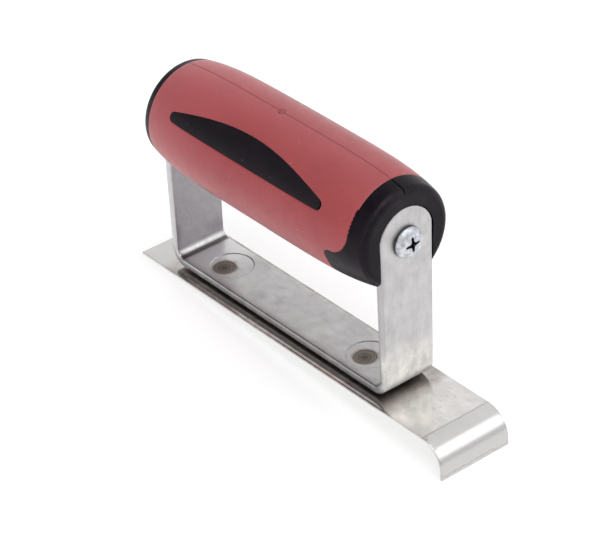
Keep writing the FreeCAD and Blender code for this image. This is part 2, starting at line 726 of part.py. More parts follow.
# ------------------------------------------------------------------ check, export
def check(features):
    """Stops the run if any object failed or any sub-part isn't sound."""
    failed = [t.Name for t in doc.Objects if {"Invalid", "Error"} & set(t.State)]
    if failed:
        raise SystemExit(f"not recomputed: {failed}")
    for thing in features:
        shape = thing.Shape
        if shape.isNull() or not shape.isValid() or not shape.Solids:
            raise SystemExit(f"{thing.Label} has no sound solid")
        box = shape.BoundBox
        print(f"{thing.Label:16s} solids {len(shape.Solids)} volume {shape.Volume:9.1f}"
              f"  x {box.XMin:7.2f} {box.XMax:7.2f}  y {box.YMin:7.2f} {box.YMax:7.2f}"
              f"  z {box.ZMin:7.2f} {box.ZMax:7.2f}")


def export(features):
    os.makedirs("parts", exist_ok=True)
    for thing in features:
        thing.Shape.exportStep(f"parts/{thing.Label}.step")


subparts = [make_blade(), make_bracket(),
            make_spot_weld("front", 1), make_spot_weld("rear", -1)]
subparts += make_handle()
subparts += [make_screw("screw_front", 1), make_screw("screw_rear", -1)]
doc.recompute()
check(subparts)
export(subparts)
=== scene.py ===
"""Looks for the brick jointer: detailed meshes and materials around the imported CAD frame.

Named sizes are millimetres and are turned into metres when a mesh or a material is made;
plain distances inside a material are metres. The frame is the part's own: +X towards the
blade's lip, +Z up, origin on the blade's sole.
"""
import math
import bmesh
import bpy
import numpy as np
from mathutils import Matrix, Vector
from mathutils.geometry import delaunay_2d_cdt


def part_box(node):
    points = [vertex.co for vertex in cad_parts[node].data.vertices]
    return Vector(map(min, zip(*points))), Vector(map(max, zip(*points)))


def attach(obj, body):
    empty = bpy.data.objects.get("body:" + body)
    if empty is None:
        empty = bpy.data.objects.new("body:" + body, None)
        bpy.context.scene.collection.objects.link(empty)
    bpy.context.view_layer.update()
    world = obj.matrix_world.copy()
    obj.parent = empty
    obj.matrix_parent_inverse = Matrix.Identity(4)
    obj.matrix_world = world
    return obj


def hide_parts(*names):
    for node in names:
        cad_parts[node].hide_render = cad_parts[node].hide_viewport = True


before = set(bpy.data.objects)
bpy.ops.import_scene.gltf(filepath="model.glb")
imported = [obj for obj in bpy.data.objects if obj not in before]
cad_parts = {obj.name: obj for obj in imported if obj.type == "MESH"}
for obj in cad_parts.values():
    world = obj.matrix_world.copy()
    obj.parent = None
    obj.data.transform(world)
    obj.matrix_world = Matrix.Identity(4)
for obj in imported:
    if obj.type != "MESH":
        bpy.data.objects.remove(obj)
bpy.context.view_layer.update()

MM = 0.001


# ------------------------------------------------------------ sizes from the frame
def box_mm(node):
    """A CAD node's low and high corners in millimetres."""
    low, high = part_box(node)
    return np.array(low) / MM, np.array(high) / MM


BLADE_LOW, BLADE_HIGH = box_mm("blade")
BRACKET_LOW, BRACKET_HIGH = box_mm("bracket")
HEAD_LOW, HEAD_HIGH = box_mm("screw_front")
GRIP_LOW, GRIP_HIGH = box_mm("grip_sleeve")
CORE_LOW, CORE_HIGH = box_mm("core_half_left")
WELD_BOXES = [box_mm("spot_weld_rear"), box_mm("spot_weld_front")]

AXIS = (GRIP_LOW[2] + GRIP_HIGH[2]) / 2          # height of the handle's axis
SCREW_AXIS = (HEAD_LOW[2] + HEAD_HIGH[2]) / 2
BLADE_THICK = WELD_BOXES[0][0][2]
LIP_RADIUS = 10.0
STRIP_THICK = 3.0
STRIP_FLARE = 0.7
BEND_INNER = 3.5
LEG_TOP_RADIUS = BRACKET_HIGH[2] - AXIS
BRACKET_HALF = BRACKET_HIGH[0]
SCREW_HOLE = 3.3
HANDLE_HALF = (CORE_HIGH[0] - CORE_LOW[0]) / 2
HANDLE_MID = (CORE_HIGH[0] + CORE_LOW[0]) / 2
BARREL_RADIUS = (GRIP_HIGH[1] - GRIP_LOW[1]) / 2
BARREL_FALL = 3.3
BARREL_POWER = 5
GRIP_THICK = 2.4
WELDS = [tuple((low + high)[:2] / 2) for low, high in WELD_BOXES]
WELD_RADIUS = (WELD_BOXES[0][1][0] - WELD_BOXES[0][0][0]) / 2
ELECTRODE_X = 39.2
ELECTRODE_RADIUS = 8.3


# ------------------------------------------------------------------- mesh helpers
def make_piece(name, points_mm, faces, node, look, smooth_limit=35):
    """A mesh piece that stands for a CAD node; attribute values come with the look."""
    mesh = bpy.data.meshes.new(name)
    mesh.from_pydata([tuple(p * MM for p in point) for point in points_mm], [], faces)
    work = bmesh.new()
    work.from_mesh(mesh)
    bmesh.ops.remove_doubles(work, verts=work.verts, dist=0.0000015)
    bmesh.ops.recalc_face_normals(work, faces=work.faces)
    work.to_mesh(mesh)
    work.free()
    mesh.polygons.foreach_set("use_smooth", [True] * len(mesh.polygons))
    mesh.set_sharp_from_angle(angle=math.radians(smooth_limit))
    piece = bpy.data.objects.new(name, mesh)
    bpy.context.scene.collection.objects.link(piece)
    mesh.materials.append(look)
    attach(piece, "root")
    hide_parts(node)
    return piece


def points_of(mesh):
    """A mesh's points in millimetres."""
    places = np.zeros(len(mesh.vertices) * 3, np.float32)
    mesh.vertices.foreach_get("co", places)
    return places.reshape(-1, 3) / MM


def inset(loop, distance):
    """A closed outline moved to its left: inward when it runs anticlockwise."""
    points = np.array(loop, float)
    after = np.roll(points, -1, 0) - points
    after /= np.linalg.norm(after, axis=1)[:, None]
    left = np.stack([-after[:, 1], after[:, 0]], 1)
    before = np.roll(left, 1, 0)
    mitre = (left + before) / (1 + (left * before).sum(1))[:, None]
    return points + distance * mitre


def inside(points, loop):
    """Which points lie inside a closed outline."""
    points, loop = np.array(points, float), np.array(loop, float)
    x, y = points[:, 0][:, None], points[:, 1][:, None]
    ax, ay = loop[:, 0][None], loop[:, 1][None]
    bx, by = np.roll(ax, -1, 1), np.roll(ay, -1, 1)
    crosses = (ay > y) != (by > y)
    rise = np.where(by == ay, 1e-12, by - ay)
    return ((crosses & (x < (bx - ax) * (y - ay) / rise + ax)).sum(1) % 2) == 1


def spaced(start, end, step):
    """Values from start to end, evenly spaced at about a step."""
    return np.linspace(start, end, max(2, int(round(abs(end - start) / step)) + 1))


def arc_points(centre, radius, start, end, step=7.5):
    """Points on an arc, angles in degrees."""
    turn = np.radians(spaced(start, end, step))
    return np.stack([centre[0] + radius * np.cos(turn), centre[1] + radius * np.sin(turn)], 1)


def ring(centre, radius, count):
    """Evenly spaced points on a circle, anticlockwise."""
    turn = np.arange(count) * 2 * math.pi / count
    return np.stack([centre[0] + radius * np.cos(turn), centre[1] + radius * np.sin(turn)], 1)


def line_points(start, end, step):
    """Points on a straight line, its end left out."""
    count = max(1, int(round(math.dist(start, end) / step)))
    share = np.arange(count)[:, None] / count
    return np.array(start) + share * (np.array(end) - np.array(start))


def fill(loops, free, rings=()):
    """Triangulates the area inside the first loop and outside the others."""
    points, edges = [], []
    for loop in list(loops) + list(rings):
        first, count = len(points), len(loop)
        points += [tuple(p) for p in loop]
        edges += [(first + i, first + (i + 1) % count) for i in range(count)]
    points += [tuple(p) for p in free]
    made = delaunay_2d_cdt([Vector(p) for p in points], edges, [], 0, 1e-7)
    flat = np.array([tuple(v) for v in made[0]])
    triangles = [list(f) for f in made[2]]
    middle = np.array([flat[f].mean(0) for f in triangles])
    keep = inside(middle, loops[0])
    for hole in loops[1:]:
        keep &= ~inside(middle, hole)
    return flat, [f for f, k in zip(triangles, keep) if k]


def quads_between(first, second, count):
    """Quads that join two closed rows of vertices."""
    return [[first + i, first + (i + 1) % count, second + (i + 1) % count, second + i]
            for i in range(count)]


ROUND_STEPS = (0, 22.5, 45, 67.5, 90)


def plate(loops, free, rings, edge, thick, bend, relief):
    """A plate with rounded edges, bent to shape.

    loops are flat outlines, the outer one anticlockwise and holes clockwise; bend
    turns flat points and an offset from the middle surface into places in space;
    relief gives how far the top is pressed in at a flat point.
    """
    inner = [inset(loop, edge) for loop in loops]
    flat, triangles = fill(inner, free, rings)
    base = len(flat)
    top = bend(flat, thick / 2 - relief(flat))
    under = bend(flat, np.full(base, -thick / 2))
    points = [top, under]
    faces = [list(f) for f in triangles] + [[base + i for i in reversed(f)] for f in triangles]
    count = 2 * base
    for loop, last in zip(loops, inner):
        size = len(loop)
        rows = {}
        for side in (1, -1):
            for step in ROUND_STEPS[:-1]:
                turn = math.radians(step)
                row = inset(loop, edge * (1 - math.cos(turn)))
                drop = thick / 2 - edge * (1 - math.sin(turn))
                rows[side, step] = count
                points.append(bend(row, np.full(size, side * drop)))
                count += size
            rows[side, 90] = count
            points.append(bend(np.array(last), np.full(size, side * thick / 2)))
            count += size
            for a, b in zip(ROUND_STEPS, ROUND_STEPS[1:]):
                faces += quads_between(rows[side, a], rows[side, b], size)
        faces += quads_between(rows[1, 0], rows[-1, 0], size)
    return np.concatenate(points), faces


# ---------------------------------------------------------------- shading helpers
class Shading:
    """Builds one node material a node at a time."""

    def __init__(self, name):
        self.material = bpy.data.materials.new(name)
        self.material.use_nodes = True
        self.tree = self.material.node_tree
        self.shader = self.tree.nodes["Principled BSDF"]
        self.place = self.tree.nodes.new("ShaderNodeTexCoord").outputs["Object"]

    def link(self, source, target):
        if isinstance(source, bpy.types.NodeSocket):
            self.tree.links.new(source, target)
        else:
            target.default_value = source

    def stretch(self, scale, vector=None):
        """Coordinates scaled by an amount along each axis."""
        mapping = self.tree.nodes.new("ShaderNodeMapping")
        mapping.inputs["Scale"].default_value = scale
        self.link(vector or self.place, mapping.inputs["Vector"])
        return mapping.outputs["Vector"]

    def noise(self, scale, detail=2.0, vector=None, roughness=0.5):
        made = self.tree.nodes.new("ShaderNodeTexNoise")
        made.inputs["Scale"].default_value = scale
        made.inputs["Detail"].default_value = detail
        made.inputs["Roughness"].default_value = roughness
        self.link(vector or self.place, made.inputs["Vector"])
        return made.outputs["Fac"]

    def cells(self, scale, vector=None):
        made = self.tree.nodes.new("ShaderNodeTexVoronoi")
        made.inputs["Scale"].default_value = scale
        self.link(vector or self.place, made.inputs["Vector"])
        return made.outputs["Distance"]

    def ramp(self, factor, *stops):
        """stops are (position, value), a value being a grey level or a colour."""
        made = self.tree.nodes.new("ShaderNodeValToRGB")
        band = made.color_ramp
        while len(band.elements) < len(stops):
            band.elements.new(0.5)
        for element, (position, value) in zip(band.elements, stops):
            element.position = position
            colour = (value,) * 3 if isinstance(value, (int, float)) else value
            element.color = (*colour, 1.0)
        self.link(factor, made.inputs["Fac"])
        return made.outputs["Color"]

    def mix(self, factor, first, second, blend="MIX"):
        made = self.tree.nodes.new("ShaderNodeMix")
        made.data_type = "RGBA"
        made.blend_type = blend
        self.link(factor, made.inputs[0])
        for value, socket in ((first, made.inputs[6]), (second, made.inputs[7])):
            plain = isinstance(value, tuple) and len(value) == 3
            self.link((*value, 1.0) if plain else value, socket)
        return made.outputs[2]

    def calc(self, operation, first, second=0.0):
        made = self.tree.nodes.new("ShaderNodeMath")
        made.operation = operation
        self.link(first, made.inputs[0])
        self.link(second, made.inputs[1])
        return made.outputs[0]

    def between(self, value, low, high, to_low, to_high):
        made = self.tree.nodes.new("ShaderNodeMapRange")
        self.link(value, made.inputs["Value"])
        for key, number in (("From Min", low), ("From Max", high),
                            ("To Min", to_low), ("To Max", to_high)):
            made.inputs[key].default_value = number
        return made.outputs["Result"]

    def step(self, value, low, high):
        """0 below low, 1 above high, with a smooth rise between."""
        made = self.tree.nodes.new("ShaderNodeMapRange")
        made.interpolation_type = "SMOOTHSTEP"
        self.link(value, made.inputs["Value"])
        made.inputs["From Min"].default_value = low
        made.inputs["From Max"].default_value = high
        return made.outputs["Result"]

    def times(self, *values):
        """Product of several factors."""
        product = values[0]
        for value in values[1:]:
            product = self.calc("MULTIPLY", product, value)
        return product

    def flip(self, value):
        """1 where a factor is 0, and 0 where it is 1."""
        return self.calc("SUBTRACT", 1.0, value)

    def split(self, vector=None):
        made = self.tree.nodes.new("ShaderNodeSeparateXYZ")
        self.link(vector or self.place, made.inputs[0])
        return made.outputs

    def attribute(self, name, output="Vector"):
        made = self.tree.nodes.new("ShaderNodeAttribute")
        made.attribute_name = name
        return made.outputs[output]

    def distance_to(self, point, vector=None):
        made = self.tree.nodes.new("ShaderNodeVectorMath")
        made.operation = "DISTANCE"
        self.link(vector or self.place, made.inputs[0])
        made.inputs[1].default_value = point
        return made.outputs["Value"]

    def bump(self, height, distance, strength=1.0):
        """Adds a bump on top of any made before."""
        made = self.tree.nodes.new("ShaderNodeBump")
        made.inputs["Strength"].default_value = strength
        made.inputs["Distance"].default_value = distance
        self.link(height, made.inputs["Height"])
        previous = self.shader.inputs["Normal"].links
        if previous:
            self.link(previous[0].from_socket, made.inputs["Normal"])
        self.link(made.outputs["Normal"], self.shader.inputs["Normal"])

    def surface(self, colour, roughness, **uniform):
        self.link(colour if not isinstance(colour, tuple) else (*colour, 1.0),
                  self.shader.inputs["Base Color"])
        self.link(roughness, self.shader.inputs["Roughness"])
        for name, value in uniform.items():
            self.shader.inputs[name.replace("_", " ")].default_value = value
        return self.material


# ---------------------------------------------------------------------- materials
REFLECTION_REAR = (-64, -58)            # where each mark on the blade fades in or out: a painted reflection under the bracket, painted light past it
REFLECTION_FRONT = (61, 68)
PALE_FRONT_START = (58, 66)
PAINTED_LIGHT_REAR = (-48, -34)         # the same on the bracket, where painted light brightens the rear
SIDE_FRONT = (30, 50)
COLLAR_SMOOTH = (44, 54)           # and on the black core
COLLAR_DULL = (40, 52)
LEAST_SHINE = 0.13
MOST_SHINE = 0.30


def mm_span(span):
    """A (low, high) pair of millimetres in metres."""
    return [place * MM for place in span]


def red_rubber():
    s = Shading("red_soft_grip")
    cloud = s.noise(70, 3)
    grain = s.noise(900, 3)
    base = s.ramp(cloud, (0.3, (0.35, 0.042, 0.050)), (0.7, (0.40, 0.052, 0.060)))
    base = s.mix(s.between(grain, 0.35, 0.75, 0, 0.22), base, (0.44, 0.085, 0.090))
    dust = s.ramp(s.cells(330), (0.05, 1.0), (0.085, 0.0))
    sparse = s.ramp(s.noise(150, 1), (0.56, 0.0), (0.60, 1.0))
    base = s.mix(s.times(dust, sparse, 0.6), base, (0.70, 0.50, 0.48))
    parts = s.split()
    upper = s.step(parts[2], (AXIS + 10) * MM, (AXIS + 12) * MM)
    from_seam = s.calc("ABSOLUTE", parts[1])
    line = s.calc("MULTIPLY", s.flip(s.step(from_seam, 0.0001, 0.0004)), 0.75)
    from_gate = s.distance_to((GATE_X * MM, 0, (AXIS + BARREL_RADIUS) * MM))
    from_ring = s.calc("ABSOLUTE", s.calc("SUBTRACT", from_gate, GATE_RADIUS * MM))
    gate = s.flip(s.step(from_ring, 0.00015, 0.0005))
    # painted sheen: paler towards the top and towards the far end
    painted_sheen = s.calc("ADD", s.times(s.step(parts[2], (AXIS + 6) * MM, (AXIS + 19) * MM), 0.035),
                   s.times(s.step(s.calc("MULTIPLY", parts[0], -1.0), 0.005, 0.062), 0.05))
    base = s.mix(s.calc("MULTIPLY", s.step(s.calc("MULTIPLY", parts[0], -1.0), 0.0, 0.055), 0.6),
                 base, (0.46, 0.052, 0.066))
    base = s.mix(painted_sheen, base, (0.85, 0.68, 0.68))
    # painted shade in the top seam's groove and in the gate mark's ring
    painted_groove_shade = s.times(s.calc("MAXIMUM", line, gate), upper, 0.72)
    base = s.mix(painted_groove_shade, base, (0.16, 0.018, 0.024))
    rough = s.between(s.noise(300, 4), 0.3, 0.7, 0.46, 0.56)
    s.bump(s.noise(5200, 2), 0.00003, 0.55)
    s.bump(s.noise(900, 3), 0.00005, 0.35)
    return s.surface(base, rough, Specular_IOR_Level=0.5, Sheen_Weight=0.40,
                     Sheen_Roughness=0.35)


def black_plastic():
    s = Shading("black_moulded_core")
    base = s.ramp(s.noise(220, 4), (0.3, (0.0052, 0.0037, 0.0060)),
                  (0.75, (0.0092, 0.0068, 0.0102)))
    dust = s.ramp(s.cells(360), (0.05, 1.0), (0.085, 0.0))
    sparse = s.ramp(s.noise(150, 1), (0.55, 0.0), (0.59, 1.0))
    base = s.mix(s.times(dust, sparse, 0.5), base, (0.30, 0.30, 0.29))
    parts = s.split()
    from_end = s.calc("ABSOLUTE", s.calc("SUBTRACT", parts[0], CORE_HIGH[0] * MM))
    # painted highlight, mottled, on the upper part of the near end's shoulder
    painted_rim_highlight = s.times(s.flip(s.step(from_end, 0.0006, 0.0036)),
                     s.step(parts[2], (AXIS + 4) * MM, (AXIS + 14) * MM),
                     s.between(s.noise(1.0, 3, s.stretch((90, 240, 240)), 0.6), 0.35, 0.65, 0.2, 1.0))
    base = s.mix(s.calc("MULTIPLY", painted_rim_highlight, 0.35), base, (0.036, 0.034, 0.038))
    rough = s.calc("SUBTRACT", s.between(s.noise(420, 4), 0.3, 0.7, 0.42, 0.54),
                   s.times(s.step(parts[0], *mm_span(COLLAR_SMOOTH)), 0.13))
    s.bump(s.noise(4200, 2), 0.00003, 0.5)
    s.bump(s.noise(500, 2), 0.00006, 0.3)
    shine = s.between(parts[0], *mm_span(COLLAR_DULL), MOST_SHINE, LEAST_SHINE)
    s.link(shine, s.shader.inputs["Specular IOR Level"])
    return s.surface(base, rough, Specular_Tint=(1.0, 0.86, 0.99, 1.0))


def weld_tint(s, colour, rough, strip):
    """Heat-tinted rings over each spot weld, and painted shade along each electrode dent's rim, on
    the strap's inner face.
    """
    parts = s.split(strip)
    inner_face = s.between(parts[2], 0.0, 0.001, 0.0, 1.0)
    wobble = s.calc("MULTIPLY", s.calc("SUBTRACT", s.noise(900, 2), 0.5), 0.0007)
    for side, (x, y) in zip((-1, 1), WELDS):
        centre = (x * MM, y * MM, STRIP_THICK / 2 * MM)
        away = s.calc("ADD", s.distance_to(centre, strip), wobble)
        share = s.calc("MULTIPLY", away, 1 / (1.3 * WELD_RADIUS * MM))
        tint = s.ramp(
            share,
            (0.00, (0.060, 0.046, 0.042)), (0.20, (0.085, 0.064, 0.056)),
            (0.33, (0.190, 0.150, 0.130)), (0.40, (0.080, 0.062, 0.054)),
            (0.52, (0.250, 0.205, 0.175)), (0.60, (0.120, 0.095, 0.078)),
            (0.68, (0.290, 0.245, 0.205)), (0.745, (0.085, 0.068, 0.058)),
            (0.80, (0.420, 0.370, 0.300)))
        cover = s.ramp(share, (0.74, 0.92), (0.99, 0.0))
        cover = s.calc("MULTIPLY", cover, inner_face)
        colour = s.mix(cover, colour, tint)
        # painted shade: a dark line, patchy in strength, along the wall of each electrode dent
        from_ring = s.distance_to((side * ELECTRODE_X * MM, 0, STRIP_THICK / 2 * MM), strip)
        ring = s.calc("ABSOLUTE", s.calc("SUBTRACT", from_ring, ELECTRODE_RADIUS * MM))
        line = s.flip(s.step(ring, 0.00005, 0.0004))
        patchy = s.between(s.noise(120, 2, strip), 0.38, 0.62, 0.1, 0.6)
        colour = s.mix(s.times(line, patchy, inner_face), colour, (0.10, 0.09, 0.09))
        rough = s.mix(s.calc("MULTIPLY", cover, 0.6), rough, (0.55, 0.55, 0.55))
    return colour, rough


def bracket_steel():
    s = Shading("strap_steel")
    strip = s.attribute("strip")
    cloud = s.noise(90, 4, strip)
    streak = s.noise(1.0, 3, s.stretch((60, 900, 60), strip))
    mottle = s.noise(900, 4, strip, 0.65)
    base = s.ramp(cloud, (0.3, (0.50, 0.49, 0.495)), (0.7, (0.575, 0.565, 0.565)))
    base = s.mix(s.between(mottle, 0.35, 0.7, 0, 0.42), base, (0.46, 0.45, 0.455))
    base = s.mix(s.between(streak, 0.5, 0.8, 0, 0.25), base, (0.70, 0.69, 0.69))
    patchy = s.noise(1.0, 5, s.stretch((170, 260, 170), strip), 0.68)
    patchy = s.between(patchy, 0.38, 0.62, 0.0, 0.34)
    base = s.mix(patchy, base, (0.78, 0.765, 0.76))
    rough = s.ramp(s.noise(260, 4, strip), (0.3, 0.30), (0.7, 0.42))
    parts = s.split(strip)
    far = s.calc("ABSOLUTE", parts[0])
    inner_face = s.step(parts[2], 0.0, 0.001)
    # painted shade on the legs' inner faces, where they face each other, darker still at their feet
    scale = s.times(s.step(far, (LEG_START - 2.2) * MM, (LEG_START - 0.4) * MM), inner_face)
    base = s.mix(s.times(scale, s.between(mottle, 0.3, 0.7, 0.75, 1.0)), base, (0.335, 0.318, 0.335))
    foot = s.times(scale, s.flip(s.step(far, (LEG_START + 2) * MM, (LEG_START + 8) * MM)))
    base = s.mix(s.calc("MULTIPLY", foot, 0.5), base, (0.22, 0.205, 0.22))
    # painted shade in the inner bends
    crease = s.times(s.step(far, (BASE_HALF - 0.5) * MM, (BASE_HALF + 1.4) * MM),
                     s.flip(s.step(far, (BASE_HALF + 2.7) * MM, (BASE_HALF + 3.7) * MM)),
                     inner_face)
    base = s.mix(s.calc("MULTIPLY", crease, 0.85), base, (0.085, 0.078, 0.082))
    # painted light: the base paler towards the rear leg; the long edges painted darker towards the
    # front and paler at the rear
    rear = s.flip(s.step(parts[0], *mm_span(PAINTED_LIGHT_REAR)))
    base = s.mix(s.times(rear, s.step(parts[0], -BASE_HALF * MM - 0.0008, -BASE_HALF * MM + 0.0012),
                         inner_face, 0.75), base, (0.86, 0.85, 0.86))
    side = s.step(s.calc("ABSOLUTE", parts[1]), 0.0106, 0.0109)
    base = s.mix(s.times(side, s.step(parts[0], *mm_span(SIDE_FRONT)), 0.5), base, (0.44, 0.43, 0.45))
    base = s.mix(s.times(side, rear, 0.5), base, (0.74, 0.735, 0.75))
    outer_face = s.flip(inner_face)
    rough = s.calc("ADD", rough, s.calc("MULTIPLY", outer_face, 0.15))
    scuffed = s.times(s.flip(s.step(far, (LEG_START + 6) * MM, (LEG_START + 17) * MM)),
                      s.step(far, (BASE_HALF + 3) * MM, (BASE_HALF + 6) * MM), outer_face)
    blotch = s.between(s.noise(1.0, 4, s.stretch((200, 330, 200), strip), 0.6), 0.34, 0.62, 0.0, 1.0)
    base = s.mix(s.times(scuffed, s.between(blotch, 0, 1, 0.15, 1.0)), base, (0.77, 0.755, 0.72))
    pits = s.step(s.noise(700, 2, strip), 0.56, 0.68)
    base = s.mix(s.times(scuffed, pits, 0.3), base, (0.46, 0.44, 0.42))
    base, rough = weld_tint(s, base, rough, strip)
    s.bump(s.noise(1400, 4, strip), 0.00004, 0.25)
    s.bump(streak, 0.00002, 0.4)
    s.bump(s.noise(45, 2, strip), 0.0004, 0.12)
    return s.surface(base, rough, Metallic=1.0)


def blade_steel():
    s = Shading("blade_steel")
    strip = s.attribute("strip")
    fine = s.noise(1.0, 3, s.stretch((25, 2600, 25), strip))
    broad = s.noise(1.0, 3, s.stretch((8, 420, 8), strip))
    cloud = s.noise(60, 3, strip)
    base = s.ramp(cloud, (0.3, (0.66, 0.645, 0.63)), (0.7, (0.73, 0.72, 0.705)))
    base = s.mix(s.between(fine, 0.4, 0.7, 0, 0.2), base, (0.55, 0.535, 0.52))
    rough = s.between(s.calc("ADD", s.calc("MULTIPLY", fine, 0.6), s.calc("MULTIPLY", broad, 0.4)),
                      0.3, 0.7, 0.11, 0.20)
    parts = s.split(strip)
    along = parts[0]
    top_face = s.step(parts[2], -0.0003, 0.0001)
    rough = s.calc("ADD", rough, s.times(s.step(along, BLADE_STRAIGHT_END * MM,
                                                (BLADE_STRAIGHT_END + 3) * MM), 0.09))
    # painted shade: the lip darker than the flat
    base = s.mix(s.step(along, (BLADE_STRAIGHT_END + 2) * MM, (BLADE_STRAIGHT_END + 12) * MM),
                 base, (0.555, 0.54, 0.54))
    # painted reflection of the bracket and handle: brown and mottled, on the blade's top
    painted_reflection = s.times(top_face, s.step(along, *mm_span(REFLECTION_REAR)),
                      s.flip(s.step(along, *mm_span(REFLECTION_FRONT))))
    reflection_mottle = s.between(s.noise(1.0, 4, s.stretch((200, 120, 90), strip), 0.6), 0.35, 0.65, 0.4, 1.0)
    base = s.mix(s.calc("MULTIPLY", painted_reflection, reflection_mottle), base, (0.41, 0.36, 0.33))
    # painted light: the blade's top past the bracket paler, in patches
    painted_pale_front = s.times(top_face, s.step(along, *mm_span(PALE_FRONT_START)),
                   s.flip(s.step(along, (BLADE_STRAIGHT_END - 1) * MM,
                                                  BLADE_STRAIGHT_END * MM)))
    patch = s.between(s.noise(1.0, 3, s.stretch((110, 170, 90), strip), 0.6), 0.35, 0.68, 0.25, 0.85)
    base = s.mix(s.times(painted_pale_front, patch), base, (0.90, 0.872, 0.845))
    rusty = s.step(s.noise(1.0, 3, s.stretch((420, 520, 90), strip), 0.7), 0.56, 0.68)
    base = s.mix(s.times(painted_pale_front, rusty, 0.35), base, (0.46, 0.40, 0.36))
    freckle = s.ramp(s.cells(700, strip), (0.0, 1.0), (0.12, 0.0))
    sparse = s.step(s.noise(130, 2, strip), 0.5, 0.6)
    base = s.mix(s.times(freckle, sparse, 0.4), base, (0.42, 0.385, 0.35))
    for place, width, waver in ((BLADE_STRAIGHT_END, 0.35, 0.0006),
                                (BLADE_LENGTH_END - 1.6, 0.45, 0.0042)):
        wander = s.calc("MULTIPLY", s.calc("SUBTRACT", s.noise(260, 3, strip), 0.5), waver)
        gap = s.calc("ABSOLUTE", s.calc("ADD", s.calc("SUBTRACT", along, place * MM), wander))
        line = s.ramp(s.calc("MULTIPLY", gap, 1 / (2 * width * MM)), (0.0, 0.55), (0.5, 0.0))
        base = s.mix(line, base, (0.30, 0.255, 0.23))
    s.bump(fine, 0.000010, 0.22)
    s.bump(broad, 0.00003, 0.12)
    s.bump(s.noise(70, 2, strip), 0.00012, 0.12)
    return s.surface(base, rough, Metallic=1.0)


def screw_steel():
    s = Shading("zinc_plate")
    base = s.ramp(s.noise(620, 4), (0.34, (0.44, 0.455, 0.50)), (0.64, (0.74, 0.76, 0.79)))
    rough = s.between(s.noise(1500, 3), 0.3, 0.7, 0.50, 0.62)
    # painted shade on the head's side wall
    proud = s.calc("SUBTRACT", s.calc("ABSOLUTE", s.split()[0]), BRACKET_HALF * MM)
    wall = s.flip(s.step(proud, (HEAD_EDGE - 0.25) * MM, (HEAD_EDGE + 0.15) * MM))
    base = s.mix(s.calc("MULTIPLY", wall, 0.9), base, (0.04, 0.04, 0.045))
    # painted shade in the cross recess
    deep = s.step(s.attribute("sunk", "Fac"), 0.00008, 0.0003)
    base = s.mix(s.calc("MULTIPLY", deep, 0.95), base, (0.016, 0.020, 0.060))
    s.bump(s.noise(2600, 3), 0.00003, 0.5)
    return s.surface(base, rough, Metallic=1.0)


def weld_metal():
    s = Shading("weld_metal")
    base = s.ramp(s.noise(800, 4), (0.3, (0.16, 0.13, 0.11)), (0.7, (0.34, 0.30, 0.27)))
    rough = s.between(s.noise(1200, 3), 0.3, 0.7, 0.45, 0.65)
    s.bump(s.noise(1500, 4), 0.00008, 0.6)
    return s.surface(base, rough, Metallic=1.0)


def insert_brass():
    s = Shading("turned_brass")
    turned = s.noise(1.0, 3, s.stretch((4000, 60, 60)))
    base = s.ramp(turned, (0.3, (0.66, 0.45, 0.17)), (0.7, (0.80, 0.60, 0.27)))
    rough = s.between(s.noise(900, 3), 0.3, 0.7, 0.22, 0.38)
    s.bump(turned, 0.00002, 0.5)
    return s.surface(base, rough, Metallic=1.0)


# --------------------------------------------------------------------- the blade
BLADE_MID = LIP_RADIUS - BLADE_THICK / 2
BLADE_STRAIGHT_END = BLADE_HIGH[0] - LIP_RADIUS
BEND_LENGTH = BLADE_MID * math.pi / 2
LIP_STRAIGHT = -BLADE_LOW[2] - (LIP_RADIUS - BLADE_THICK)
BLADE_LENGTH_END = BLADE_STRAIGHT_END + BEND_LENGTH + LIP_STRAIGHT
BLADE_EDGE = 0.14                  # rounding of the sheet's edges
BURR = 0.05                        # spread of the lip's ragged edge
BURR_SEED = 7


def bend_blade(flat, offset):
    """Flat blade to space: straight, a quarter turn down, then a short straight."""
    along, across = flat[:, 0], flat[:, 1]
    past = np.clip(along - BLADE_STRAIGHT_END, 0, BEND_LENGTH)
    turn = past / BLADE_MID
    radius = BLADE_MID + offset
    straight = np.minimum(along, BLADE_STRAIGHT_END)
    rest = np.maximum(along - BLADE_STRAIGHT_END - BEND_LENGTH, 0)
    x = straight + radius * np.sin(turn)
    z = BLADE_THICK - LIP_RADIUS + radius * np.cos(turn) - rest
    return np.stack([x, across, z], 1)


def stations(*spans):
    """Values along a strip, from (start, end, step) spans in a row."""
    return np.unique(np.round(np.concatenate([spaced(*span) for span in spans]), 5))


def grid(along, across, loops, margin):
    """Free points at every station that lie well inside the outlines."""
    points = np.array([(a, b) for a in along for b in across])
    near = [inset(loop, margin) for loop in loops]
    keep = inside(points, near[0])
    for hole in near[1:]:
        keep &= ~inside(points, hole)
    return points[keep]


def rectangle(along, half_width, start, end, end_steps):
    """An outline whose long sides follow the stations, anticlockwise."""
    rows = [(a, -half_width) for a in along]
    rows += [(end, y) for y in np.linspace(-half_width, half_width, end_steps + 1)[1:-1]]
    rows += [(a, half_width) for a in reversed(along)]
    rows += [(start, y) for y in np.linspace(half_width, -half_width, end_steps + 1)[1:-1]]
    return np.array(rows)


def record_strip(piece, unbend):
    """Keeps each point's place on the flat strip, for grain that follows the bends."""
    mesh = piece.data
    flat = unbend(points_of(mesh)) * MM
    layer = mesh.attributes.new("strip", "FLOAT_VECTOR", "POINT")
    layer.data.foreach_set("vector", flat.astype(np.float32).ravel())


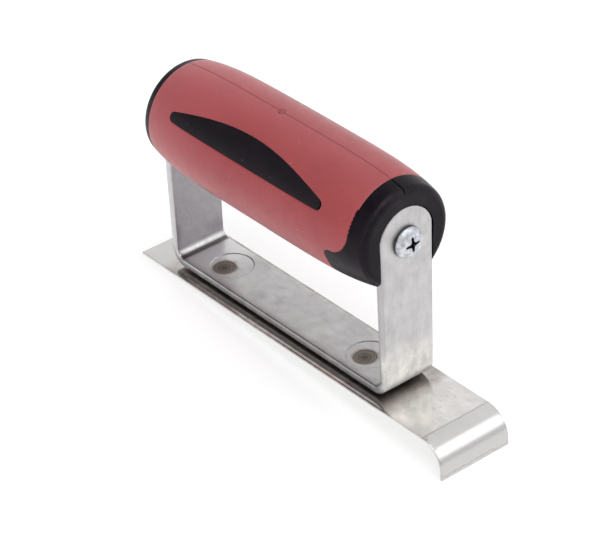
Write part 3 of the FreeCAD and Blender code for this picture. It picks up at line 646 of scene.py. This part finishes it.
def unbend_blade(points):
    """Places in space back to the flat blade."""
    x, y, z = points.T
    centre = BLADE_THICK - LIP_RADIUS
    turn = np.arctan2(x - BLADE_STRAIGHT_END, z - centre)
    radius = np.hypot(x - BLADE_STRAIGHT_END, z - centre)
    flat = x <= BLADE_STRAIGHT_END
    down = (x > BLADE_STRAIGHT_END) & (z < centre)
    along = np.where(flat, x, BLADE_STRAIGHT_END + turn * BLADE_MID)
    along = np.where(down, BLADE_STRAIGHT_END + BEND_LENGTH + centre - z, along)
    offset = np.where(flat, z - BLADE_THICK / 2, radius - BLADE_MID)
    offset = np.where(down, x - BLADE_STRAIGHT_END - BLADE_MID, offset)
    return np.stack([along, y, offset], 1)


def make_blade(look):
    """Stainless strip with a slightly ragged lip edge."""
    half = BLADE_HIGH[1]
    start, bend = BLADE_LOW[0], BLADE_STRAIGHT_END
    along = stations((start, bend, 3.0), (bend, bend + BEND_LENGTH, 0.55),
                     (bend + BEND_LENGTH, BLADE_LENGTH_END, 0.75))
    outline = rectangle(along, half, start, BLADE_LENGTH_END, 24)
    burr = outline[:, 0] > BLADE_LENGTH_END - 0.01
    ragged = np.random.default_rng(BURR_SEED).normal(0, BURR, burr.sum())
    outline[burr, 0] -= np.abs(ragged)
    free = grid(along[1:-1], np.linspace(-half, half, 17)[1:-1], [outline], 0.6)
    points, faces = plate([outline], free, (), BLADE_EDGE, BLADE_THICK, bend_blade,
                          lambda flat: np.zeros(len(flat)))
    piece = make_piece("blade_strip", points, faces, "blade", look)
    record_strip(piece, unbend_blade)
    return piece


# ------------------------------------------------------------------- the bracket
STRAP_MID = BEND_INNER + STRIP_THICK / 2
STRAP_OUTER = BEND_INNER + STRIP_THICK
BASE_HALF = BRACKET_HALF - STRAP_OUTER
STRAP_TURN = STRAP_MID * math.pi / 2
BEND_TOP = BRACKET_LOW[2] + STRAP_OUTER
LEG_START = BASE_HALF + STRAP_TURN
SHOULDER_WIDTH = BRACKET_HIGH[1]
SHOULDER_Z = AXIS + math.sqrt(LEG_TOP_RADIUS ** 2 - SHOULDER_WIDTH ** 2)
FOOT_WIDTH = SHOULDER_WIDTH - STRIP_FLARE
STRAP_EDGE = 0.55                  # rounding of the strap's edges


def bend_strap(flat, offset):
    """Flat strap to space: base, a quarter turn up at each end, then the legs."""
    along, across = flat[:, 0], flat[:, 1]
    side, far = np.sign(along), np.abs(along)
    turn = np.clip(far - BASE_HALF, 0, STRAP_TURN) / STRAP_MID
    radius = STRAP_MID - offset
    x = side * (np.minimum(far, BASE_HALF) + radius * np.sin(turn))
    z = BEND_TOP - radius * np.cos(turn) + np.maximum(far - LEG_START, 0)
    return np.stack([x, across, z], 1)


def unbend_strap(points):
    """Places in space back to the flat strap."""
    x, y, z = points.T
    side, far = np.sign(x), np.abs(x)
    turn = np.arctan2(far - BASE_HALF, BEND_TOP - z)
    radius = np.hypot(far - BASE_HALF, BEND_TOP - z)
    base = far <= BASE_HALF
    leg = (~base) & (z >= BEND_TOP)
    along = np.where(base, far, BASE_HALF + turn * STRAP_MID)
    along = np.where(leg, LEG_START + z - BEND_TOP, along)
    offset = np.where(base, z - BEND_TOP + STRAP_MID, STRAP_MID - radius)
    offset = np.where(leg, BASE_HALF + STRAP_MID - far, offset)
    return np.stack([side * along, y, offset], 1)


def strap_width(along):
    """Half width of the strap at a distance along it from its middle."""
    height = np.maximum(np.abs(along) - LEG_START, 0) + BEND_TOP
    return FOOT_WIDTH + STRIP_FLARE * np.minimum(height / SHOULDER_Z, 1)


def strap_outline(along, shoulder, axis):
    """Flat outline of the strap with its two rounded ends, anticlockwise."""
    lean = math.degrees(math.atan2(SHOULDER_WIDTH, shoulder - axis))
    tip = arc_points((axis, 0), LEG_TOP_RADIUS, -lean, lean, 5)
    lower = np.stack([along, -strap_width(along)], 1)
    upper = np.stack([along[::-1], strap_width(along)], 1)
    inner = slice(1, -1)
    return np.concatenate([lower[inner], tip, upper[inner], -tip])


PRESS_DEPTH = 0.2
PRESS_WALL = 0.14
RIPPLES = ((4.55, 0.0), (4.35, 0.10), (4.0, 0.13), (3.5, 0.09), (3.1, 0.15), (2.6, 0.11),
           (2.1, 0.17), (1.5, 0.14), (0.9, 0.17))


def pressed(flat):
    """How deep the welding electrodes pressed the strap's inner face."""
    depth = np.zeros(len(flat))
    for side, (x, y) in zip((-1, 1), WELDS):
        wide = np.hypot(flat[:, 0] - side * ELECTRODE_X, flat[:, 1])
        wall = (ELECTRODE_RADIUS + PRESS_WALL - wide) / (2 * PRESS_WALL)
        depth += PRESS_DEPTH * np.clip(wall, 0, 1)
        near = np.hypot(flat[:, 0] - x, flat[:, 1] - y)
        radii, drops = zip(*reversed(RIPPLES))
        depth += np.interp(near, radii, drops, right=0.0)
    return depth


def press_rings():
    """Circles the mesh follows round each electrode mark and its ripples."""
    rings = []
    for side, (x, y) in zip((-1, 1), WELDS):
        for grow in (-0.3, -PRESS_WALL, PRESS_WALL, 0.3):
            rings.append(ring((side * ELECTRODE_X, 0), ELECTRODE_RADIUS + grow, 96))
        for radius, _ in RIPPLES:
            rings.append(ring((x, y), radius, 48))
    return rings


def clear_of_marks(free):
    """Free points that keep away from the circles of the electrode marks."""
    for side, (x, y) in zip((-1, 1), WELDS):
        wide = np.hypot(free[:, 0] - side * ELECTRODE_X, free[:, 1])
        near = np.hypot(free[:, 0] - x, free[:, 1] - y)
        free = free[(np.abs(wide - ELECTRODE_RADIUS) > 0.8) & (near > WELD_RADIUS + 0.5)]
    return free


def make_bracket(look):
    """U strap with rounded leg tops, screw holes and the two electrode marks."""
    axis = LEG_START + AXIS - BEND_TOP
    shoulder = LEG_START + SHOULDER_Z - BEND_TOP
    half = stations((0, BASE_HALF, 2.2), (BASE_HALF, LEG_START, 0.5), (LEG_START, shoulder, 2.2))
    along = np.concatenate([-half[:0:-1], half])
    outline = strap_outline(along, shoulder, axis)
    hole = axis + SCREW_AXIS - AXIS
    holes = [ring((side * hole, 0), SCREW_HOLE, 40)[::-1] for side in (-1, 1)]
    loops = [outline] + holes
    free = clear_of_marks(grid(along, np.linspace(-12, 12, 13)[1:-1], loops, 1.2))
    points, faces = plate(loops, free, press_rings(), STRAP_EDGE, STRIP_THICK, bend_strap, pressed)
    piece = make_piece("strap_bracket", points, faces, "bracket", look)
    record_strip(piece, unbend_strap)
    return piece


# --------------------------------------------------------------- the grip sleeve
NEAR_COLLAR = GRIP_HIGH[0]
FAR_COLLAR = GRIP_LOW[0]
HORN_REACH = 42.8
HORN_LOW = -3.0
HORN_TIP = 2.6
HORN_SWEEP = 8.6
CRESCENT_HALF = 41.8
CRESCENT_SHIFT = -2.8
CRESCENT_LOW = 9.1
CRESCENT_TOP = 17.5
CRESCENT_ROUND = 1.65
SCALLOP_RADIUS = 17.6
SCALLOP_SPANS = ((-27.7, -27.7), (10.9, 21.3))
UNROLL = 20.0                                    # radius that angles are unrolled at
SEAM = UNROLL * math.pi / 2
GATE_X = -3.9
GATE_RADIUS = 1.25
GATE_RINGS = (0.4, 0.7, 0.95, 1.1, 1.25, 1.4, 1.6, 1.9)
GRIP_EDGE = 0.32                   # rounding of the sleeve's edges
SEAM_DEPTH = 0.12


def barrel(x):
    """Radius of the handle's barrel at a place along it."""
    share = np.abs((np.asarray(x) - HANDLE_MID) / HANDLE_HALF)
    return BARREL_RADIUS - BARREL_FALL * share ** BARREL_POWER


def from_side(outline):
    """Side-view points, heights from the axis, to places on the unrolled barrel."""
    x, z = np.array(outline, float).T
    return np.stack([x, UNROLL * np.arcsin(np.clip(z / barrel(x), -1, 1))], 1)


def from_below(outline):
    """Plan-view points on the underside to places on the unrolled barrel."""
    x, y = np.array(outline, float).T
    return np.stack([x, -UNROLL * np.arccos(np.clip(y / barrel(x), -1, 1))], 1)


def seam_line(start, end, height):
    """Points along one of the two lines where the sleeve's halves meet."""
    return line_points((start, height), (end, height), 1.6)


def scallop(first, last):
    """Edge of one finger pad, from the lower seam back to the lower seam."""
    rear = arc_points((first, 0), SCALLOP_RADIUS, 180, 90, 4)
    front = arc_points((last, 0), SCALLOP_RADIUS, 90, 0, 4)
    bridge = line_points(rear[-1], front[0], 1.6)[1:] if last > first else front[:0]
    return from_below(np.concatenate([rear, bridge, front[0 if last > first else 1:]]))


def horn():
    """Edge of the black collar, from the lower seam up to the upper one."""
    low = HORN_LOW - HORN_TIP
    foot_angle = UNROLL * math.asin(low / barrel(HORN_REACH))
    foot = line_points((HORN_REACH, -SEAM), (HORN_REACH, foot_angle), 1.5)
    tip = arc_points((HORN_REACH + HORN_TIP, low), HORN_TIP, 180, 90, 9)
    sweep = arc_points((NEAR_COLLAR - HORN_SWEEP, HORN_LOW + HORN_SWEEP), HORN_SWEEP, -90, 0, 5)
    sides = from_side(np.concatenate([tip, sweep[1:] if tip[-1][0] > sweep[0][0] else sweep]))
    rise = line_points(sides[-1], (NEAR_COLLAR, SEAM), 1.5)[1:]
    return np.concatenate([foot, sides, rise])


def crescent():
    """Edge of the crescent window, clockwise as seen from its own side."""
    reach = CRESCENT_HALF - CRESCENT_ROUND
    rise = CRESCENT_TOP - CRESCENT_LOW - CRESCENT_ROUND
    sweep = (reach ** 2 + rise ** 2 - CRESCENT_ROUND ** 2) / (2 * (rise - CRESCENT_ROUND))
    lean = math.degrees(math.atan2(sweep - rise, reach))
    level = CRESCENT_LOW + CRESCENT_ROUND
    right = arc_points((CRESCENT_SHIFT + reach, level), CRESCENT_ROUND, -90, lean, 12)
    arch = arc_points((CRESCENT_SHIFT, CRESCENT_TOP - sweep), sweep, lean, 180 - lean, 0.5)
    left = arc_points((CRESCENT_SHIFT - reach, level), CRESCENT_ROUND, 180 - lean, 270, 12)
    floor = line_points(left[-1], right[0], 1.5)[1:]
    return from_side(np.concatenate([right, arch[1:-1], left, floor]))[::-1]


def on_barrel(flat, depth, side):
    """Unrolled points to space, sunk below the barrel's surface by a depth."""
    x, turn = flat[:, 0], flat[:, 1] / UNROLL
    radius = barrel(x) - depth
    return np.stack([x, side * radius * np.cos(turn), AXIS + radius * np.sin(turn)], 1)


def gate_mark(flat):
    """The small round scar that the mould left on the upper seam."""
    away = np.hypot(flat[:, 0] - GATE_X, SEAM - flat[:, 1])
    return 0.2 * np.exp(-((away - GATE_RADIUS) / 0.3) ** 2)


def grip_outline():
    """Edge of one half of the sleeve on the unrolled barrel, anticlockwise."""
    lower = [seam_line(FAR_COLLAR, SCALLOP_SPANS[0][0] - SCALLOP_RADIUS, -SEAM)]
    for index, (first, last) in enumerate(SCALLOP_SPANS):
        lower.append(scallop(first, last)[:-1])
        following = SCALLOP_SPANS[index + 1][0] - SCALLOP_RADIUS if index == 0 else HORN_REACH
        lower.append(seam_line(last + SCALLOP_RADIUS, following, -SEAM))
    upper = [horn(), seam_line(NEAR_COLLAR, FAR_COLLAR, SEAM),
             line_points((FAR_COLLAR, SEAM), (FAR_COLLAR, -SEAM), 1.5)]
    return np.concatenate(lower + upper)


def grip_free_points(loops):
    """Points inside the sleeve's edges, closer together round the gate mark."""
    xs, turns = np.arange(-57.5, 53.5, 1.5), np.arange(-SEAM + 1.2, SEAM - 0.6, 1.5)
    free = grid(xs, turns, loops, 1.0)
    gate = np.concatenate([ring((GATE_X, SEAM), r, 24) for r in GATE_RINGS])
    return np.concatenate([free[np.hypot(free[:, 0] - GATE_X, free[:, 1] - SEAM) > 2.4],
                           gate[gate[:, 1] < SEAM - GRIP_EDGE - 0.05]])


def make_grip(look):
    """Red sleeve: two mirrored halves that meet in a fine mould line."""
    loops = [grip_outline(), crescent()]
    inner = [inset(loop, GRIP_EDGE) for loop in loops]
    free = grip_free_points(loops)
    flat, triangles = fill(inner, free)
    points, faces, count = [], [], 0
    for side in (-1, 1):
        base = len(flat)
        points += [on_barrel(flat, gate_mark(flat), side), on_barrel(flat, GRIP_THICK, side)]
        faces += [[count + i for i in f] for f in triangles]
        faces += [[count + base + i for i in f] for f in triangles]
        count += 2 * base
        for loop, last in zip(loops, inner):
            size = len(loop)
            on_seam = np.abs(np.abs(loop[:, 1]) - SEAM) < 1e-6
            scale = np.where(on_seam, SEAM_DEPTH / GRIP_EDGE, 1.0)
            rows = []
            for step in ROUND_STEPS[:-1]:
                turn = math.radians(step)
                row = inset(loop, GRIP_EDGE * (1 - math.cos(turn)))
                row[:, 1] = np.clip(row[:, 1], -SEAM, SEAM)
                drop = GRIP_EDGE * (1 - math.sin(turn)) * scale
                points.append(on_barrel(row, drop + gate_mark(row), side))
                rows.append(count)
                count += size
            points.append(on_barrel(last, gate_mark(last), side))
            rows.append(count)
            count += size
            for a, b in zip(rows, rows[1:]):
                faces += quads_between(a, b, size)
            points.append(on_barrel(np.array(loop), np.full(size, GRIP_THICK), side))
            points.append(on_barrel(last, np.full(size, GRIP_THICK), side))
            faces += quads_between(count, count + size, size)
            wall = quads_between(rows[0], count, size)
            joined = on_seam & np.roll(on_seam, -1)
            faces += [quad for quad, skip in zip(wall, joined) if not skip]
            count += 2 * size
    return make_piece("grip_red", np.concatenate(points), faces, "grip_sleeve",
                      look, 40)


# --------------------------------------------------------------------- the screws
HEAD_EDGE = 1.1
HEAD_RISE = HEAD_HIGH[0] - BRACKET_HALF
HEAD_RADIUS = (HEAD_HIGH[1] - HEAD_LOW[1]) / 2
SHANK_RADIUS = 2.9
RECESS_ARM = 3.0
RECESS_WING = 0.70
RECESS_FLOOR = 2.2
RECESS_STEPS = ((RECESS_ARM, RECESS_WING, 0.0), (2.93, 0.64, 0.14), (2.5, 0.54, 0.75),
                (1.35, 0.40, RECESS_FLOOR))        # arm, wing, depth below the dome
HEAD_SIDES = 64
HEAD_RINGS = ((5.75, 64), (5.5, 60), (5.1, 56), (4.6, 52), (4.0, 44), (3.5, 40))
RIM_RADIUS = HEAD_RADIUS - 0.02
SHANK_TIP = HEAD_LOW[0] - BRACKET_HALF


def dome(radius):
    """Height of the pan head above the bracket at a distance from its axis."""
    share = np.clip(radius / HEAD_RADIUS, 0, 1)
    return HEAD_EDGE + (HEAD_RISE - HEAD_EDGE) * (1 - share ** 3.2) ** 0.62


def cross_outline(arm, wing):
    """Four tapered wings with rounded inner corners, anticlockwise."""
    quarter = [(arm, -0.72 * wing), (arm + 0.12, 0), (arm, 0.72 * wing)]
    hollow = arc_points((2.1 * wing, 2.1 * wing), 1.15 * wing, 262, 188, 12)
    quarter = np.concatenate([quarter, hollow])
    turns = [np.array([[math.cos(a), -math.sin(a)], [math.sin(a), math.cos(a)]])
             for a in np.radians([0, 90, 180, 270])]
    return np.concatenate([quarter @ turn.T for turn in turns])


def record_sunk(piece, side):
    """Keeps how far each point lies below the dome, for the painted shade in the recess."""
    mesh = piece.data
    x, y, z = points_of(mesh).T
    away = np.hypot(y, z - SCREW_AXIS)
    sunk = np.where(away < RECESS_ARM + 0.3, dome(away) - (side * x - BRACKET_HALF), 0.0)
    layer = mesh.attributes.new("sunk", "FLOAT", "POINT")
    layer.data.foreach_set("value", (np.maximum(sunk, 0) * MM).astype(np.float32))


def make_screw(name, node, side, spin, look):
    """Pan head with a cross recess, on a plain shank that hides in the handle."""
    rim = ring((0, 0), RIM_RADIUS, HEAD_SIDES)
    mouth = cross_outline(RECESS_ARM, RECESS_WING)
    free = np.concatenate([ring((0, 0), radius, count) for radius, count in HEAD_RINGS])
    flat, triangles = fill([rim, mouth[::-1]], free)
    points = [np.column_stack([flat, dome(np.hypot(*flat.T))])]
    faces = [list(f) for f in triangles]
    count = len(flat)
    size = len(mouth)
    rows = []
    for arm, wing, depth in RECESS_STEPS:
        row = cross_outline(arm, wing)
        height = dome(np.hypot(*row.T)) - depth
        points.append(np.column_stack([row, height]))
        rows.append(count)
        count += size
    for a, b in zip(rows, rows[1:]):
        faces += quads_between(a, b, size)
    points.append(np.array([[0, 0, HEAD_RISE - RECESS_FLOOR - 0.35]]))
    faces += [[rows[-1] + i, rows[-1] + (i + 1) % size, count] for i in range(size)]
    count += 1
    shank = [(RIM_RADIUS, float(dome(RIM_RADIUS))), (HEAD_RADIUS, HEAD_EDGE),
             (HEAD_RADIUS, 0.12), (HEAD_RADIUS - 0.12, 0.0), (SHANK_RADIUS, 0.0),
             (SHANK_RADIUS, SHANK_TIP + 1), (SHANK_RADIUS - 1, SHANK_TIP)]
    rows = []
    for radius, height in shank:
        points.append(np.column_stack([ring((0, 0), radius, HEAD_SIDES),
                                       np.full(HEAD_SIDES, height)]))
        rows.append(count)
        count += HEAD_SIDES
    for a, b in zip(rows, rows[1:]):
        faces += quads_between(a, b, HEAD_SIDES)
    faces.append([rows[-1] + i for i in range(HEAD_SIDES)])
    local = np.concatenate(points)
    turn = math.radians(spin)
    across = local[:, 0] * math.cos(turn) - local[:, 1] * math.sin(turn)
    up = local[:, 0] * math.sin(turn) + local[:, 1] * math.cos(turn)
    placed = np.stack([side * (BRACKET_HALF + local[:, 2]), side * across, SCREW_AXIS + up], 1)
    piece = make_piece(name, placed, faces, node, look, 38)
    record_sunk(piece, side)
    return piece


# ------------------------------------------------------------- materials on pieces
def finish_cad_node(node, look):
    """Gives a CAD node that stays a better material and smooth shading."""
    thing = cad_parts[node]
    thing.data.materials.clear()
    thing.data.materials.append(look)
    thing.data.polygons.foreach_set("use_smooth", [True] * len(thing.data.polygons))


black, brass, weld, zinc = black_plastic(), insert_brass(), weld_metal(), screw_steel()
make_blade(blade_steel())
make_bracket(bracket_steel())
make_grip(red_rubber())
make_screw("pan_screw_front", "screw_front", 1, 4, zinc)
make_screw("pan_screw_rear", "screw_rear", -1, 31, zinc)
for half in ("core_half_left", "core_half_right"):
    finish_cad_node(half, black)
for end in ("front", "rear"):
    finish_cad_node(f"insert_{end}", brass)
    finish_cad_node(f"spot_weld_{end}", weld)


# -------------------------------------------------------------- floor, light, view
FLOOR_GLOW = 0.60
FLOOR_REACH = 4.0                  # metres from the middle to each side
BRIGHT_SIDE = (0.0, 1.0, 0.1)
BRIGHT_LEVEL = 0.88
DIM_LEVEL = 0.10


def make_floor():
    """Pale, faintly glowing table under the lip's lower edge and the blade's rear edge."""
    s = Shading("pale_floor")
    tone = s.ramp(s.noise(6, 2), (0.3, (0.54, 0.54, 0.54)), (0.7, (0.56, 0.56, 0.56)))
    look = s.surface(tone, 0.8, Specular_IOR_Level=0.1, Emission_Color=(1.0, 1.0, 1.0, 1.0),
                     Emission_Strength=FLOOR_GLOW)
    mesh = bpy.data.meshes.new("floor")
    reach = FLOOR_REACH
    corners = [(-reach, -reach, 0), (reach, -reach, 0), (reach, reach, 0), (-reach, reach, 0)]
    mesh.from_pydata(corners, [], [(0, 1, 2, 3)])
    mesh.materials.append(look)
    floor = bpy.data.objects.new("floor", mesh)
    bpy.context.scene.collection.objects.link(floor)
    pitch = math.atan2(-BLADE_LOW[2], BLADE_HIGH[0] - BLADE_LOW[0])
    rear = Vector((BLADE_LOW[0] * MM, 0, -0.0003))
    floor.matrix_world = Matrix.Translation(rear) @ Matrix.Rotation(pitch, 4, "Y")


def soft_light(name, toward, distance, width, height, radiance):
    """A rectangular softbox of a given brightness in a direction, facing the object."""
    data = bpy.data.lights.new(name, "AREA")
    data.shape = "RECTANGLE"
    data.size, data.size_y = width, height
    data.energy = radiance * math.pi * width * height
    lamp = bpy.data.objects.new(name, data)
    bpy.context.scene.collection.objects.link(lamp)
    direction = Vector(toward).normalized()
    lamp.location = Vector((0, 0, 0.05)) + direction * distance
    lamp.rotation_euler = direction.to_track_quat("Z", "Y").to_euler()


def make_world():
    """A studio that is light behind the object and dim in front of it."""
    world = bpy.data.worlds.new("studio")
    bpy.context.scene.world = world
    world.use_nodes = True
    tree = world.node_tree
    facing = tree.nodes.new("ShaderNodeVectorMath")
    facing.operation = "DOT_PRODUCT"
    facing.inputs[1].default_value = Vector(BRIGHT_SIDE).normalized()
    tree.links.new(tree.nodes.new("ShaderNodeTexCoord").outputs["Generated"], facing.inputs[0])
    level = tree.nodes.new("ShaderNodeMapRange")
    level.interpolation_type = "SMOOTHSTEP"
    for key, number in (("From Min", 0.0), ("From Max", 0.45),
                        ("To Min", DIM_LEVEL), ("To Max", BRIGHT_LEVEL)):
        level.inputs[key].default_value = number
    tree.links.new(facing.outputs["Value"], level.inputs["Value"])
    tree.links.new(level.outputs["Result"], tree.nodes["Background"].inputs["Strength"])
    tree.nodes["Background"].inputs["Color"].default_value = (1.0, 1.0, 1.0, 1.0)


def make_lights():
    """The studio and three softboxes; distances and sizes in metres."""
    make_world()
    soft_light("key_softbox", (0.705, 0.49, 0.51), 1.32, 0.80, 0.80, 1.1)
    soft_light("top_softbox", (0.35, -0.20, 0.92), 1.4, 1.1, 1.1, 3.0)
    soft_light("front_softbox", (0.15, -0.94, 0.30), 1.4, 1.2, 1.2, 1.15)


VIEW_AZIMUTH = 52.04
VIEW_ELEVATION = 33.41
VIEW_ROLL = -2.89
VIEW_DISTANCE = 0.9807
VIEW_AIM = Vector((-0.0073, 0.0072, 0.0164))
VIEW_LENS = 161.2


def make_camera():
    """Camera at the photograph's angle; distances in metres."""
    azimuth, elevation = math.radians(VIEW_AZIMUTH), math.radians(VIEW_ELEVATION)
    back = Vector((math.cos(elevation) * math.sin(azimuth),
                   -math.cos(elevation) * math.cos(azimuth), math.sin(elevation)))
    data = bpy.data.cameras.new("camera")
    data.lens = VIEW_LENS
    data.clip_start, data.clip_end = 0.05, 20
    camera = bpy.data.objects.new("camera", data)
    bpy.context.scene.collection.objects.link(camera)
    level = back.to_track_quat("Z", "Y").to_matrix()
    turned = level @ Matrix.Rotation(math.radians(VIEW_ROLL), 3, "Z")
    camera.matrix_world = Matrix.Translation(VIEW_AIM + back * VIEW_DISTANCE) @ turned.to_4x4()
    bpy.context.scene.camera = camera


make_floor()
make_lights()
make_camera()
bpy.context.scene.view_settings.view_transform = "Standard"
